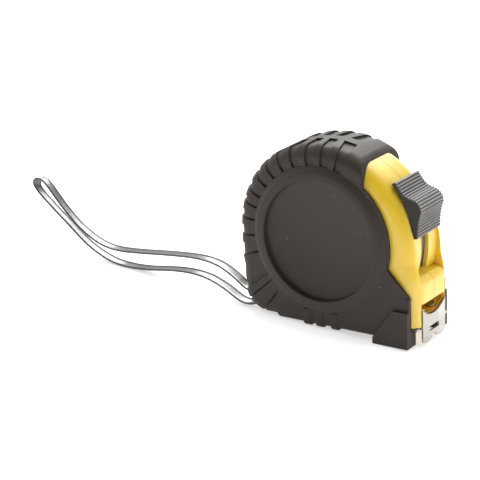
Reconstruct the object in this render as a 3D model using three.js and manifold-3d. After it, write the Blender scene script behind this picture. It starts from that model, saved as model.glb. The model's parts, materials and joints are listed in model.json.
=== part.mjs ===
// Pocket tape measure: a two-part plastic case in a rubber armour, with a wound steel blade,
// a sliding lock button, an end hook and a wrist strap.
//
// Everything is drawn in the case's own frame, in millimetres: the spool's axle lies on the
// Y axis, the mouth is towards +X, the right-hand side is -Y and the base is towards -Z.
// At the end the case is leant back until its feet and its heel stand on the plane Z = 0.
import * as THREE from 'three';
import { mergeVertices } from 'three/addons/utils/BufferGeometryUtils.js';
import Module from 'manifold-3d';

const wasm = await Module();
wasm.setup();

// ---- driving dimensions ----
const bladeWidth = 19;          // flat width of the steel tape
const bladeThickness = 0.2;
const cupRadius = 12.6;         // the tape's curl where it leaves the case
const cupCentreZ = -14.2;
const coilOuter = 22;
const coilInner = 13.8;
const gap = 0.3;                // between pieces that touch
const caseHalfWidth = 13;
const caseRadius = 36.2;        // where the armour covers it
const caseRounding = 7;
const caseBase = -34.5;
const caseHeelRadius = 9;
const cavityRadius = 34.4;
const cavityHalfWidth = 10.6;
const armourRadius = 38.9;
const armourHalfWidth = 14.8;
const armourRounding = 5.2;
const armourBase = -36;
const heelX = -37.9;            // the plain back wall under the grip
const cornerRadius = 11;
const cornerX = heelX + cornerRadius;
const cornerZ = armourBase + cornerRadius;
const gripCount = 12;           // raised bands over the back, each with a hollow in front of it
const gripFirst = 77;           // degrees round the axle, where the first band begins
const gripPitch = 11;
const gripBand = 5;
const gripDepth = 0.75;
const spineHalfWidth = 2.2;
const ringHeight = 1.9;
const ringTopRadius = 28.1;
const ringFootRadius = 30.4;
const recessRadius = 25;
const recessDepth = 2.3;
const footHeel = 24.3;
const footToe = 40;
const footBottom = -38.25;
const noseX = 43;               // the flat face over the mouth
const noseCornerRadius = 6;
const noseArc = { x: -1, z: -5.3, radius: 42.9 };
const trackRadius = 39.05;      // the floor that the lock button slides on
const trackHalfWidth = 9.6;
const ledgeZ = -11.1;           // the lower end of that track
const slotHalfWidth = 2.9;
const cheekBottom = -30.6;
const mouthTop = -21.2;
const mouthHalfWidth = 9.4;
const floorTop = -32.3;
const spindleRadius = 3.5;
const strapPost = { x: -31.4, z: -30.2, radius: 2.2, yLow: -12.6, yHigh: -5 };
const strapNotch = { radius: 4.2, yLow: -12.2, yHigh: -6.2 };
const screws = [{ x: 14.5, z: 30.5 }, { x: 14, z: -31 }, { x: -24.5, z: -29 }];
const screwRadius = 1.5;
const screwHeadRadius = 2.6;
const screwSeatY = 8.6;         // where the heads bear, on the left

// ---- materials ----
const plastic = (color, roughness) => new THREE.MeshStandardMaterial({ color, roughness, metalness: 0 });
const metal = (color, roughness) => new THREE.MeshStandardMaterial({ color, roughness, metalness: 1 });
const yellowPlastic = plastic(0xf0c828, 0.35);
const darkRubber = plastic(0x3b3733, 0.75);
const blackPlastic = plastic(0x2b2a29, 0.55);
const greyPlastic = plastic(0x4a4a48, 0.5);
const whitePlastic = plastic(0xd8d6cc, 0.5);
const strapPlastic = plastic(0x2a2928, 0.3);
const yellowPaint = plastic(0xe8c020, 0.4);
const brightSteel = metal(0xd6d2cc, 0.3);
const springSteel = metal(0x8e9094, 0.35);

// ---- solids ----
const radians = THREE.MathUtils.degToRad;

function solid(geometry) {
  geometry.deleteAttribute('normal');
  geometry.deleteAttribute('uv');
  const merged = mergeVertices(geometry, 1e-4);
  const points = merged.getAttribute('position');
  const index = merged.getIndex();
  const [a, b, c] = [new THREE.Vector3(), new THREE.Vector3(), new THREE.Vector3()];
  const triangles = [];
  let volume = 0;
  for (let i = 0; i < index.count; i += 3) {
    const corners = [index.getX(i), index.getX(i + 1), index.getX(i + 2)];
    if (new Set(corners).size < 3) continue;
    triangles.push(...corners);
    a.fromBufferAttribute(points, corners[0]);
    b.fromBufferAttribute(points, corners[1]);
    c.fromBufferAttribute(points, corners[2]);
    volume += a.dot(b.cross(c));
  }
  if (volume < 0) triangles.reverse();
  return new wasm.Manifold(new wasm.Mesh({
    numProp: 3, vertProperties: Float32Array.from(points.array), triVerts: Uint32Array.from(triangles),
  }));
}

function geometryOf(body) {
  const mesh = body.getMesh();
  const geometry = new THREE.BufferGeometry();
  geometry.setAttribute('position', new THREE.BufferAttribute(Float32Array.from(mesh.vertProperties), 3));
  geometry.setIndex(Array.from(mesh.triVerts));
  geometry.computeVertexNormals();
  return geometry;
}

// Adds an arc to an outline, in degrees, with sides short enough to stay within 0.04 of the circle.
function addArc(outline, x, z, radius, from, to) {
  const step = 2 * Math.acos(1 - 0.04 / radius);
  const count = Math.ceil(Math.abs(radians(to - from)) / step);
  for (let i = 0; i <= count; i += 1) {
    const angle = radians(from + ((to - from) * i) / count);
    const point = [x + radius * Math.cos(angle), z + radius * Math.sin(angle)];
    if (i === 0 && !outline.started) outline.moveTo(...point);
    else outline.lineTo(...point);
    outline.started = true;
  }
}

// An outline that begins at a point, or with an arc if none is given.
function outlineFrom(...point) {
  const outline = new THREE.Shape();
  if (point.length) outline.moveTo(...point);
  outline.started = point.length > 0;
  return outline;
}

function polygon(points) {
  return new THREE.Shape(points.map(([x, y]) => new THREE.Vector2(x, y)));
}

// A plate whose outline is in X and Z, with its rims rounded if asked.
function plateXZ(outline, yLow, yHigh, round = 0) {
  const geometry = new THREE.ExtrudeGeometry(outline, {
    depth: yHigh - yLow - 2 * round,
    curveSegments: 8,
    bevelEnabled: round > 0,
    bevelThickness: round,
    bevelSize: round,
    bevelOffset: -round,
    bevelSegments: 4,
  });
  geometry.rotateX(Math.PI / 2);
  geometry.translate(0, yHigh - round, 0);
  return solid(geometry);
}

function plateYZ(outline, xLow, xHigh) {
  const geometry = new THREE.ExtrudeGeometry(outline, { depth: xHigh - xLow, curveSegments: 6, bevelEnabled: false });
  const axes = [new THREE.Vector3(0, 1, 0), new THREE.Vector3(0, 0, 1), new THREE.Vector3(1, 0, 0)];
  geometry.applyMatrix4(new THREE.Matrix4().makeBasis(...axes));
  geometry.translate(xLow, 0, 0);
  return solid(geometry);
}

function plateXY(outline, zLow, zHigh) {
  const geometry = new THREE.ExtrudeGeometry(outline, { depth: zHigh - zLow, bevelEnabled: false });
  geometry.translate(0, 0, zLow);
  return solid(geometry);
}

function box(xLow, xHigh, yLow, yHigh, zLow, zHigh) {
  const geometry = new THREE.BoxGeometry(xHigh - xLow, yHigh - yLow, zHigh - zLow);
  geometry.translate((xLow + xHigh) / 2, (yLow + yHigh) / 2, (zLow + zHigh) / 2);
  return solid(geometry);
}

// A round bar along Y.
function bar({ x = 0, z = 0 }, radius, yLow, yHigh, sides = 24) {
  const geometry = new THREE.CylinderGeometry(radius, radius, yHigh - yLow, sides);
  geometry.translate(x, (yLow + yHigh) / 2, z);
  return solid(geometry);
}

// A turned piece: [radius, y] pairs round the axle.
function turned(profile, segments = 64) {
  return solid(new THREE.LatheGeometry(profile.map(([radius, y]) => new THREE.Vector2(radius, y)), segments));
}

function joined(bodies) {
  return bodies.reduce((whole, body) => whole.add(body));
}

const sides = [-1, 1];
const rightSide = box(-90, 90, -40, -gap / 2, -90, 90);
const leftSide = box(-90, 90, gap / 2, 40, -90, 90);

// ---- yellow case ----
// The outer form; grow gives the same form a little larger, for the armour's inside.
function caseForm(grow) {
  const outline = outlineFrom(38.4 + grow, caseBase - grow);
  addArc(outline, noseArc.x, noseArc.z, noseArc.radius + grow, -7.6, 66);
  addArc(outline, 0, 0, caseRadius + grow, 70, 180);
  addArc(outline, caseHeelRadius - caseRadius, caseHeelRadius + caseBase, caseHeelRadius + grow, 180, 270);
  const shell = plateXZ(outline, -caseHalfWidth - grow, caseHalfWidth + grow, caseRounding + grow);

  const x = noseX + grow;
  const y = caseHalfWidth + grow;
  const r = noseCornerRadius;
  const plan = outlineFrom(18, -y);
  addArc(plan, x - r, r - y, r, -90, 0);
  addArc(plan, x - r, y - r, r, 0, 90);
  plan.lineTo(18, y);
  const nose = plateXY(plan, cheekBottom - grow, ledgeZ - 2);
  const keel = box(-20, 38.4 + grow, -y, y, caseBase - grow, -20);
  return joined([shell, nose, keel]);
}

function lockTrack() {
  const cut = outlineFrom(70, 65);
  addArc(cut, 0, 0, trackRadius, 44, THREE.MathUtils.radToDeg(Math.asin(ledgeZ / trackRadius)));
  cut.lineTo(noseX - 2.6, ledgeZ);
  cut.lineTo(noseX - 0.9, ledgeZ - 0.8);
  cut.lineTo(noseX + 0.1, ledgeZ - 2.6);
  cut.lineTo(70, ledgeZ - 2.6);
  return plateXZ(cut, -trackHalfWidth, trackHalfWidth);
}

function lockSlot() {
  const slot = outlineFrom();
  addArc(slot, 0, 0, trackRadius + 2, -15.5, 36);
  addArc(slot, 0, 0, cavityRadius, 36, -15.5);
  return plateXZ(slot, -slotHalfWidth, slotHalfWidth);
}

function caseInside() {
  const drop = THREE.MathUtils.radToDeg(Math.asin(floorTop / cavityRadius));
  const round = outlineFrom();
  addArc(round, 0, 0, cavityRadius, drop, 180 - drop);
  const front = outlineFrom(0, 0);
  addArc(front, 0, 0, trackRadius - 1.75, -38, 41);
  const mouth = box(20, 50, -mouthHalfWidth, mouthHalfWidth, floorTop, mouthTop);
  return joined([
    plateXZ(round, -cavityHalfWidth, cavityHalfWidth),
    plateXZ(front, -mouthHalfWidth, mouthHalfWidth),
    mouth,
  ]);
}

const mouthPlateBox = { xLow: 36.6, xHigh: 42, halfWidth: 12.2, zLow: cheekBottom - 1.3, zHigh: cheekBottom - gap };
const mouthPlateSeat = box(
  mouthPlateBox.xLow - gap, 60, -mouthPlateBox.halfWidth - gap, mouthPlateBox.halfWidth + gap,
  mouthPlateBox.zLow - gap, cheekBottom,
);

// The notch in the heel that the strap comes out of, with the sockets for its post.
function strapOpening() {
  const { radius, yLow, yHigh } = strapNotch;
  const way = box(-60, strapPost.x, yLow, yHigh, strapPost.z - radius, strapPost.z + radius);
  const sockets = bar(strapPost, strapPost.radius + gap, strapPost.yLow - gap, strapPost.yHigh + gap);
  return joined([bar(strapPost, radius, yLow, yHigh), way, sockets]);
}

function wholeCase() {
  const form = caseForm(0);
  const bosses = screws.flatMap((place) => [bar(place, 4.2, -13, -6.5), bar(place, 4.2, 6.5, 13)]);
  const spindleSeats = sides.map((side) => {
    const ends = [side * 9.8, side * 11.5].sort((p, q) => p - q);
    return bar({}, 5.5, ...ends);
  });
  const hollows = [
    bar({}, spindleRadius + gap, -11.6, 11.6),
    ...screws.flatMap((place) => [
      bar(place, screwRadius + gap, -9.6, 20, 16),
      bar(place, screwHeadRadius + gap, screwSeatY, 20),
    ]),
    strapOpening(),
    mouthPlateSeat,
    lockTrack(),
    lockSlot(),
  ];
  const inside = joined([...bosses, ...spindleSeats]).intersect(form);
  return form.subtract(caseInside()).add(inside).subtract(joined(hollows));
}

// ---- rubber armour ----
function armourOutline(inset) {
  const outline = outlineFrom(50, armourBase + inset);
  for (let angle = 20; angle <= 180; angle += 5) {
    const flattening = 0.55 * Math.exp(-(((angle - 94) / 22) ** 2));
    const radius = armourRadius - flattening - inset;
    outline.lineTo(radius * Math.cos(radians(angle)), radius * Math.sin(radians(angle)));
  }
  outline.lineTo(-armourRadius + inset, -12);
  outline.lineTo(heelX + inset, -17);
  addArc(outline, cornerX, cornerZ, cornerRadius - inset, 180, 270);
  return outline;
}

// What is cut away in front, where the yellow nose shows.
function armourFront() {
  const cut = outlineFrom(60, 60);
  cut.lineTo(10, 60);
  cut.lineTo(12.4, 39.2);
  cut.lineTo(18.8, 33.2);
  cut.lineTo(19.7, 29.4);
  addArc(cut, 0, 0, 31.1, 50.7, -14);
  cut.lineTo(footToe, -17.8);
  cut.lineTo(footToe, -60);
  cut.lineTo(60, -60);
  return plateXZ(cut, -20, 20);
}

// The hollows between the grip bands, from the rings to the plain spine.
function gripHollows() {
  const core = plateXZ(
    armourOutline(gripDepth), -armourHalfWidth + gripDepth, armourHalfWidth - gripDepth, armourRounding,
  );
  const wedges = [];
  for (let i = 0; i < gripCount; i += 1) {
    const to = gripFirst + gripPitch * i;
    const from = i === 0 ? to - 2.5 : to - gripPitch + gripBand;
    const corners = [[ringFootRadius, from], [50, from], [50, to], [ringFootRadius, to]];
    const wedge = polygon(corners.map(([r, angle]) => [r * Math.cos(radians(angle)), r * Math.sin(radians(angle))]));
    wedges.push(plateXZ(wedge, -20, -spineHalfWidth), plateXZ(wedge, spineHalfWidth, 20));
  }
  return joined(wedges).subtract(core);
}

function feet() {
  const foot = polygon([
    [footHeel, footBottom], [footToe, footBottom], [footToe, -23.3], [33.4, -23.3], [25.4, -34], [footHeel, -35.5],
  ]);
  return [plateXZ(foot, -16.3, -9.5), plateXZ(foot, 9.5, 16.3)];
}

// Three ribs round the base, which run up either flank as far as the ring.
function baseRibs() {
  const flank = armourHalfWidth + 0.3;
  const low = armourBase - 0.9;
  const girth = polygon([
    [-flank, -30], [-flank, low + 1.3], [1.1 - flank, low], [flank - 1.1, low], [flank, low + 1.3], [flank, -30],
  ]);
  return [-6.5, -0.8, 6.1].map((x) => plateYZ(girth, x - 1.9, x + 1.9));
}

function wholeArmour() {
  const ringTop = armourHalfWidth + ringHeight;
  const rings = sides.map((side) => turned([
    [0, 10 * side], [ringFootRadius, 10 * side], [ringFootRadius, armourHalfWidth * side],
    [ringTopRadius, ringTop * side], [0, ringTop * side],
  ]));
  const recesses = sides.map((side) => turned([
    [0, (ringTop - recessDepth) * side], [recessRadius - 0.5, (ringTop - recessDepth) * side],
    [recessRadius, (ringTop + 0.1) * side], [0, (ringTop + 0.1) * side],
  ]));
  const keelOutline = polygon([[-22, armourBase], [50, armourBase], [50, -18], [-22, -18]]);
  const grown = [
    plateXZ(armourOutline(0), -armourHalfWidth, armourHalfWidth, armourRounding),
    plateXZ(keelOutline, -armourHalfWidth, armourHalfWidth, 1.5),
    ...rings, ...feet(), ...baseRibs(),
  ];
  const cuts = [
    gripHollows(), armourFront(), ...recesses, caseForm(gap), strapOpening(), mouthPlateSeat,
    box(33, 60, -9.5, 9.5, -60, cheekBottom),
    ...screws.map((place) => bar(place, screwHeadRadius + 0.5, screwSeatY, 20)),
  ];
  return joined(grown).subtract(joined(cuts));
}

// ---- lock ----
function lockButton() {
  const under = trackRadius + gap;
  const profile = outlineFrom();
  addArc(profile, 0, 0, under, 7.2, 39.6);
  profile.lineTo(31.2, 25);
  profile.lineTo(33.5, 22.1);
  profile.quadraticCurveTo(35.5, 20.6, 37.9, 20.6);
  profile.quadraticCurveTo(42.6, 19.8, 42.6, 16);
  profile.quadraticCurveTo(41, 12, 41, 5.3);
  const neck = outlineFrom();
  addArc(neck, 0, 0, under + 0.5, 16, 28);
  addArc(neck, 0, 0, trackRadius - 1.9, 28, 16);
  return plateXZ(profile, -trackHalfWidth + gap, trackHalfWidth - gap).add(plateXZ(neck, -2.5, 2.5));
}

function lockBand() {
  const strip = outlineFrom();
  addArc(strip, 0, 0, 36.8, -21, 36);
  addArc(strip, 0, 0, 35.8, 36, -21);
  return plateXZ(strip, -8, 8);
}

// ---- spool ----
function spoolDrum() {
  const r = coilInner - gap;
  return turned([[r, -9.4], [r, 9.4], [4, 9.4], [4, 8.2], [r - 1.2, 8.2], [r - 1.2, -9.4], [r, -9.4]]);
}

function spoolCover() {
  const r = coilInner - gap - 1.5;
  return turned([[r, -9.4], [r, -8.4], [4, -8.4], [4, -9.4], [r, -9.4]]);
}

function powerSpring() {
  const turns = 6;
  const steps = 24 * turns;
  const strip = 0.4;
  const at = (i, extra) => {
    const angle = (2 * Math.PI * i) / 24;
    const radius = 4.8 + (6.6 * i) / steps + extra;
    return [radius * Math.cos(angle), radius * Math.sin(angle)];
  };
  const outer = [...Array(steps + 1).keys()].map((i) => at(i, strip));
  const inner = [...Array(steps + 1).keys()].map((i) => at(i, 0)).reverse();
  return plateXZ(polygon([...outer, ...inner]), -7.5, 7.5);
}

function bladeCoil() {
  const y = bladeWidth / 2;
  return turned([[coilOuter, -y], [coilOuter, y], [coilInner, y], [coilInner, -y], [coilOuter, -y]], 72);
}

// ---- blade and hook ----
// A strip curled round the cup's axis, its inner face at the given radius.
function curled(innerRadius, thickness, halfWidth, xLow, xHigh) {
  const half = THREE.MathUtils.radToDeg(halfWidth / innerRadius);
  const strip = outlineFrom();
  addArc(strip, 0, cupCentreZ, innerRadius + thickness, -90 - half, -90 + half);
  addArc(strip, 0, cupCentreZ, innerRadius, -90 + half, -90 - half);
  return plateYZ(strip, xLow, xHigh);
}

const hookX = 42.3;
const hookThickness = 0.7;
const hookPlay = 0.8;
const tangInner = cupRadius + bladeThickness + gap;
const rivet = { x: 39, angle: radians(19), radius: 1.1, headRadius: 1.9 };

// A round bar square to the curled strip, at a rivet's place.
function rivetBar(side, radius, from, to, x = rivet.x) {
  const geometry = new THREE.CylinderGeometry(radius, radius, to - from, 16);
  geometry.rotateX(Math.PI / 2);
  geometry.translate(0, 0, -(from + to) / 2);
  geometry.rotateX(side * rivet.angle);
  geometry.translate(x, 0, cupCentreZ);
  return solid(geometry);
}

function blade() {
  const strip = curled(cupRadius, bladeThickness, bladeWidth / 2, 2, hookX - gap);
  return strip.subtract(joined(sides.map((side) => rivetBar(side, rivet.radius + gap, 11, 15))));
}

function bladeRivet(side) {
  return joined([
    rivetBar(side, rivet.headRadius, cupRadius - 0.9, cupRadius - gap),
    rivetBar(side, rivet.radius, cupRadius - 0.6, tangInner + hookThickness + 0.5),
    rivetBar(side, rivet.headRadius, tangInner + hookThickness + gap, tangInner + hookThickness + 0.8),
  ]);
}

function hook() {
  const halfWidth = 8.95;
  const lowest = -37.9;
  const half = THREE.MathUtils.radToDeg(Math.asin(halfWidth / tangInner));
  const face = outlineFrom();
  addArc(face, 0, cupCentreZ, tangInner, -90 + half, -90 - half);
  face.lineTo(-halfWidth, lowest + 2);
  face.quadraticCurveTo(-halfWidth, lowest, -halfWidth + 2, lowest);
  face.lineTo(-3.8, lowest);
  face.quadraticCurveTo(-1.6, lowest + 0.2, -1.3, lowest + 1.9);
  face.lineTo(1.3, lowest + 1.9);
  face.quadraticCurveTo(1.6, lowest + 0.2, 3.8, lowest);
  face.lineTo(halfWidth - 2, lowest);
  face.quadraticCurveTo(halfWidth, lowest, halfWidth, lowest + 2);
  face.closePath();
  const nailSlot = box(hookX - 2, hookX + 2, -3.7, 3.7, -33.9, -32.2);
  const play = sides.flatMap((side) => [0, 0.4, 0.8].map(
    (shift) => rivetBar(side, rivet.radius + gap, 12.9, 15, rivet.x - shift),
  ));
  const tang = curled(tangInner, hookThickness, 6.6, 34, hookX + 0.1);
  return plateYZ(face, hookX, hookX + hookThickness).add(tang).subtract(joined([nailSlot, ...play]));
}

// ---- fixings ----
function mouthPlate() {
  const { xLow, xHigh, halfWidth, zLow, zHigh } = mouthPlateBox;
  return box(xLow, xHigh, -halfWidth, halfWidth, zLow, zHigh);
}

function spindle() {
  const pin = bar({}, spindleRadius, -11.3, 11.3, 32);
  return pin.subtract(box(-0.5, 0.5, -8, 8, -10, 10));
}

function caseScrew(place) {
  const seat = screwSeatY + gap;
  const head = bar(place, screwHeadRadius, seat, seat + 1.5);
  const drive = joined([box(-1.5, 1.5, seat + 0.8, 20, -0.35, 0.35), box(-0.35, 0.35, seat + 0.8, 20, -1.5, 1.5)]);
  return head.add(bar(place, screwRadius, -9, seat + 0.2, 16)).subtract(drive.translate([place.x, 0, place.z]));
}

// ---- wrist strap ----
// The middle of the flat cord, in the row's axes but with the axle as origin: out from the post,
// along the table, up in a springy curve, round the far end and back under itself.
const strapWidth = 5.3;
const strapThickness = 0.9;
const strapRoute = [
  [-31, -9.3, -28.6], [-36, -9.4, -29.6], [-41.4, -8.7, -27.2], [-49.5, -7.6, -24], [-58, -6.5, -23],
  [-69, -5, -24], [-86, -3, -27], [-103, -2, -29.8], [-112, -1.7, -30.3], [-119.5, -1.5, -29],
  [-130.5, -1.2, -23.7], [-141, -1, -15], [-148, -1, -8],
  [-150.6, -1, -6.6], [-153, -1, -7], [-154, -1, -9.2], [-153, -1, -11.4],
  [-147, -1, -16.4], [-136, -1.1, -24.2], [-125, -1.4, -31.4], [-114, -1.7, -35.6], [-105, -2, -36.6],
  [-92, -2.7, -35.3], [-78, -4, -32.3], [-66, -5.5, -30.6], [-56, -6.8, -30.9], [-47, -8, -33.2],
  [-40, -9, -35.6], [-35, -9.4, -35.8], [-31, -9.3, -34.7],
];

function wristStrap() {
  const w = strapWidth / 2;
  const t = strapThickness / 2;
  const section = polygon([
    [-w, -t / 2], [-w + t, -t], [w - t, -t], [w, -t / 2], [w, t / 2], [w - t, t], [-w + t, t], [-w, t / 2],
  ]);
  const path = new THREE.CatmullRomCurve3(strapRoute.map((point) => new THREE.Vector3(...point)));
  path.arcLengthDivisions = 600;
  return solid(new THREE.ExtrudeGeometry(section, { steps: 80, extrudePath: path }));
}

// ---- assembly ----
function named(name, body, material) {
  const mesh = new THREE.Mesh(geometryOf(body), material);
  mesh.name = name;
  return mesh;
}

// The case leans back until the heel's curve and the back edges of the feet are level.
const run = footHeel - cornerX;
const rise = cornerZ - footBottom;
const lean = Math.atan2(rise, run) - Math.asin(cornerRadius / Math.hypot(run, rise));

const tape = new THREE.Group();
tape.rotation.y = -lean;

const shell = wholeCase();
const armour = wholeArmour();
tape.add(
  named('right_case_half', shell.intersect(rightSide), yellowPlastic),
  named('left_case_half', shell.intersect(leftSide), yellowPlastic),
  named('right_armour', armour.intersect(rightSide), darkRubber),
  named('left_armour', armour.intersect(leftSide), darkRubber),
  named('spindle', spindle(), springSteel),
  ...screws.map((place, i) => named(`case_screw_${i + 1}`, caseScrew(place), brightSteel)),
  named('mouth_plate', mouthPlate(), brightSteel),
  named('strap_post', bar(strapPost, strapPost.radius, strapPost.yLow, strapPost.yHigh, 20), blackPlastic),
  named('lock_button', lockButton(), blackPlastic),
  named('lock_band', lockBand(), greyPlastic),
  named('spool_drum', spoolDrum(), whitePlastic),
  named('spool_cover', spoolCover(), whitePlastic),
  named('power_spring', powerSpring(), springSteel),
  named('blade_coil', bladeCoil(), yellowPaint),
  named('blade', blade(), yellowPaint),
  named('blade_rivet_1', bladeRivet(-1), brightSteel),
  named('blade_rivet_2', bladeRivet(1), brightSteel),
  named('hook', hook(), brightSteel),
);

const product = new THREE.Group();
product.add(tape);
product.updateMatrixWorld(true);
const room = new THREE.Box3().setFromObject(tape, true);
product.position.set(-(room.min.x + room.max.x) / 2, 0, -room.min.z);
product.add(named('wrist_strap', wristStrap(), strapPlastic));

export default product;
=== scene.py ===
import bpy
import bmesh
import json
import math
import numpy as np
from mathutils import Matrix, Vector


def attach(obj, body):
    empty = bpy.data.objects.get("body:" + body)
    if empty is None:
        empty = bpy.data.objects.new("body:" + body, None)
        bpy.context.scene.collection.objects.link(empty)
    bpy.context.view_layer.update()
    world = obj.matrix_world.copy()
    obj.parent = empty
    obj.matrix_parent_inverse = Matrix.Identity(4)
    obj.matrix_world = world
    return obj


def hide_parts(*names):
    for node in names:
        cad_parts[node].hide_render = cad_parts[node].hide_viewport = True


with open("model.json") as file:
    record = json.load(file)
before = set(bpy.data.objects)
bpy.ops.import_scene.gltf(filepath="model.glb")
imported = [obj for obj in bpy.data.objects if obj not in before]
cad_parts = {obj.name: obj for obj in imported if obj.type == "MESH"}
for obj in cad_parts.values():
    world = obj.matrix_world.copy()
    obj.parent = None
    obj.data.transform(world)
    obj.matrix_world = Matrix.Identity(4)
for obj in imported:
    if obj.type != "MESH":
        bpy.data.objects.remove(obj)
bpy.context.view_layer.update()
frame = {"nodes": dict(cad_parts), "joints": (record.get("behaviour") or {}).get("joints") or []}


# ---------------------------------------------------------------- studio
# The camera looks down a little on the right-hand side and the front. A pale sweep stands in for
# the white studio, and soft light comes from above, behind, the front and the left.
joints = {joint["name"]: joint for joint in frame["joints"]}
axle = Vector(joints["lock_slide"]["pos_m"])
mouth_way = Vector(joints["blade_slide"]["axis"])
lean = math.atan2(mouth_way.z, mouth_way.x)
# from millimetres on the upright case, measured from its axle, to metres in the frame
case_place = Matrix.Translation(axle) @ Matrix.Rotation(-lean, 4, "Y") @ Matrix.Scale(0.001, 4)


def placed(name, data):
    """A new object in the scene, made of a mesh, a lamp or a camera."""
    thing = bpy.data.objects.new(name, data)
    bpy.context.scene.collection.objects.link(thing)
    return thing


camera = placed("camera", bpy.data.cameras.new("camera"))
bpy.context.scene.camera = camera
camera.data.lens = 150
camera.data.sensor_width = 36
camera.data.clip_start = 0.01
camera.data.clip_end = 20
view_side, view_up = math.radians(33.76), math.radians(20.47)
backwards = Vector((
    math.sin(view_side) * math.cos(view_up),
    -math.cos(view_side) * math.cos(view_up),
    math.sin(view_up),
))
right = Vector((math.cos(view_side), math.sin(view_side), 0))
up = backwards.cross(right)
eye = axle + Vector((0.3832, -0.6441, 0.2750))
camera.matrix_world = Matrix.Translation(eye) @ Matrix((right, up, backwards)).transposed().to_4x4()

floor_mesh = bpy.data.meshes.new("floor")
floor_mesh.from_pydata([(-6, -6, 0), (6, -6, 0), (6, 6, 0), (-6, 6, 0)], [], [(0, 1, 2, 3)])
floor = placed("floor", floor_mesh)
floor_paint = bpy.data.materials.new("floor_paint")
floor_paint.use_nodes = True
floor_shader = floor_paint.node_tree.nodes["Principled BSDF"]
floor_shader.inputs["Base Color"].default_value = (0.93, 0.93, 0.93, 1)
floor_shader.inputs["Roughness"].default_value = 0.9
floor_shader.inputs["Emission Color"].default_value = (1, 1, 1, 1)
floor_shader.inputs["Emission Strength"].default_value = 0.55
floor_mesh.materials.append(floor_paint)


def soft_light(name, place, aim, size, power):
    """A round lamp at a place, aimed at a point, with its width in metres and its power in watts."""
    light = bpy.data.lights.new(name, "AREA")
    light.shape = "DISK"
    light.size = size
    light.energy = power
    lamp = placed(name, light)
    lamp.location = place
    lamp.rotation_euler = (Vector(aim) - Vector(place)).to_track_quat("-Z", "Y").to_euler()


soft_light("overhead", (0.0, 0.6, 1.6), (0, 0, 0.03), 1.3, 20)
soft_light("behind", (-0.7, 1.7, 0.9), (0, 0, 0.04), 1.2, 30)
soft_light("front", (1.7, 0.1, 0.8), (0, 0, 0.03), 1.0, 7)
soft_light("left", (-1.6, 0.1, 0.8), (0, 0, 0.03), 1.2, 7)

# a white sky that dims behind the camera, so that the glossy faces keep their depth
world = bpy.data.worlds.new("studio")
bpy.context.scene.world = world
world.use_nodes = True
sky = world.node_tree
direction = sky.nodes.new("ShaderNodeTexCoord")
facing = sky.nodes.new("ShaderNodeVectorMath")
facing.operation = "DOT_PRODUCT"
facing.inputs[1].default_value = (0.45, -0.85, 0.25)
ramp = sky.nodes.new("ShaderNodeValToRGB")
ramp.color_ramp.elements[0].position = 0.35
ramp.color_ramp.elements[0].color = (1.0, 1.0, 1.0, 1)
ramp.color_ramp.elements[1].position = 0.85
ramp.color_ramp.elements[1].color = (0.12, 0.12, 0.12, 1)
sky.links.new(direction.outputs["Generated"], facing.inputs[0])
sky.links.new(facing.outputs["Value"], ramp.inputs["Fac"])
sky.links.new(ramp.outputs["Color"], sky.nodes["Background"].inputs["Color"])
sky.nodes["Background"].inputs["Strength"].default_value = 0.7
bpy.context.scene.view_settings.view_transform = "Standard"


# ---------------------------------------------------------------- wrist strap
# A flat loop of soft shiny plastic, extruded with a rounded edge and doubled back from the post
# in the case's heel. It leaves the case backwards, dips to the table and springs up to its far end.
STRAP_STEPS = 420
# degrees of roll at the far end, and the x in metres at which it starts and its length
FAR_ROLL, ROLL_START, ROLL_LENGTH = 13, -0.108, 0.03
strap_route = (
    (-31, -9.3, -28.6), (-36, -9.4, -29.6), (-41.4, -8.7, -27.2), (-49.5, -7.6, -24), (-58, -6.5, -23),
    (-69, -5, -24), (-86, -3, -27), (-103, -2, -29.8), (-112, -1.7, -30.3), (-119.5, -1.5, -29),
    (-130.5, -1.2, -23.7), (-141, -1, -15), (-148, -1, -8),
    (-150.6, -1, -6.6), (-153, -1, -7), (-154, -1, -9.2), (-153, -1, -11.4),
    (-147, -1, -16.4), (-136, -1.1, -24.2), (-125, -1.4, -31.4), (-114, -1.7, -35.6), (-105, -2, -36.6),
    (-92, -2.7, -35.3), (-78, -4, -32.3), (-66, -5.5, -30.6), (-56, -6.8, -30.9), (-47, -8, -33.2),
    (-40, -9, -35.6), (-35, -9.4, -35.8), (-31, -9.3, -34.7),
)


def link_mesh(name, points, faces, place=Matrix.Identity(4), smooth_under=35):
    """A piece from points and faces, moved to its place, smooth but for its sharper edges."""
    mesh = bpy.data.meshes.new(name)
    mesh.from_pydata([tuple(p) for p in points], [], faces)
    mesh.transform(place)
    work = bmesh.new()
    work.from_mesh(mesh)
    bmesh.ops.recalc_face_normals(work, faces=work.faces)
    work.to_mesh(mesh)
    work.free()
    mesh.shade_smooth()
    mesh.set_sharp_from_angle(angle=math.radians(smooth_under))
    return placed(name, mesh)


def loft(rows, name, place=Matrix.Identity(4), smooth_under=35):
    """A closed body through rows of points, with the first and last rows capped."""
    ring = len(rows[0])
    points = [point for row in rows for point in row]
    faces = [
        (i * ring + j, i * ring + (j + 1) % ring, (i + 1) * ring + (j + 1) % ring, (i + 1) * ring + j)
        for i in range(len(rows) - 1) for j in range(ring)
    ]
    faces += [tuple(reversed(range(ring))), tuple(range(len(points) - ring, len(points)))]
    return link_mesh(name, points, faces, place, smooth_under)


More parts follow.
